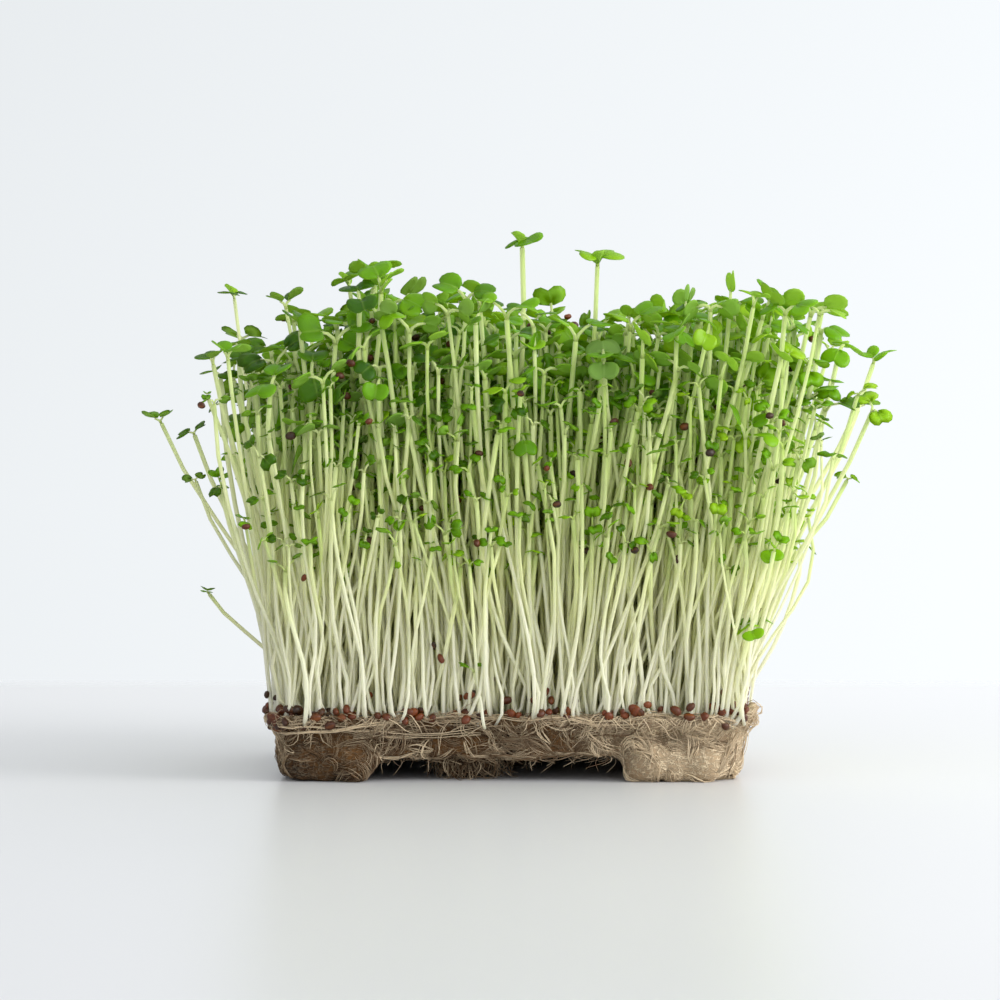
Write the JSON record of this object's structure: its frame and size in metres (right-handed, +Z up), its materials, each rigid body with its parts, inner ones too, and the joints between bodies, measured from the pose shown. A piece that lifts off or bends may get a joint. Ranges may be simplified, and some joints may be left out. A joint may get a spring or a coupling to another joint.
{
  "type": "microgreens block",
  "caption": "Free-standing block of young brassica microgreens rooted in a fibrous growing mat that stands on moulded feet.",
  "frame": {"origin": "middle of the mat's underside, on the surface that the block stands on", "axes": "+Z up along the stems, +X to the right along the mat's long side, -Y to the front that the picture shows"},
  "size_m": [0.162, 0.1009, 0.1126],
  "materials": {
    "mat_felt": "damp brown fibre felt, matted with pale roots and red-brown seed hulls",
    "sprout": "pale, slightly glossy stems turning green towards fresh green notched seed leaves"
  },
  "bodies": {
    "root": {"growing_mat": "mat_felt", "sprouts_row1_col1": "sprout", "sprouts_row1_col2": "sprout", "sprouts_row1_col3": "sprout", "sprouts_row1_col4": "sprout", "sprouts_row1_col5": "sprout", "sprouts_row1_col6": "sprout", "sprouts_row1_col7": "sprout", "sprouts_row1_col8": "sprout", "sprouts_row1_col9": "sprout", "sprouts_row2_col1": "sprout", "sprouts_row2_col2": "sprout", "sprouts_row2_col3": "sprout", "sprouts_row2_col4": "sprout", "sprouts_row2_col5": "sprout", "sprouts_row2_col6": "sprout", "sprouts_row2_col7": "sprout", "sprouts_row2_col8": "sprout", "sprouts_row2_col9": "sprout", "sprouts_row3_col1": "sprout", "sprouts_row3_col2": "sprout", "sprouts_row3_col3": "sprout", "sprouts_row3_col4": "sprout", "sprouts_row3_col5": "sprout", "sprouts_row3_col6": "sprout", "sprouts_row3_col7": "sprout", "sprouts_row3_col8": "sprout", "sprouts_row3_col9": "sprout", "sprouts_row4_col1": "sprout", "sprouts_row4_col2": "sprout", "sprouts_row4_col3": "sprout", "sprouts_row4_col4": "sprout", "sprouts_row4_col5": "sprout", "sprouts_row4_col6": "sprout", "sprouts_row4_col7": "sprout", "sprouts_row4_col8": "sprout", "sprouts_row4_col9": "sprout", "sprouts_row5_col1": "sprout", "sprouts_row5_col2": "sprout", "sprouts_row5_col3": "sprout", "sprouts_row5_col4": "sprout", "sprouts_row5_col5": "sprout", "sprouts_row5_col6": "sprout", "sprouts_row5_col7": "sprout", "sprouts_row5_col8": "sprout", "sprouts_row5_col9": "sprout", "sprouts_row6_col1": "sprout", "sprouts_row6_col2": "sprout", "sprouts_row6_col3": "sprout", "sprouts_row6_col4": "sprout", "sprouts_row6_col5": "sprout", "sprouts_row6_col6": "sprout", "sprouts_row6_col7": "sprout", "sprouts_row6_col8": "sprout", "sprouts_row6_col9": "sprout"}
  },
  "joints": []
}
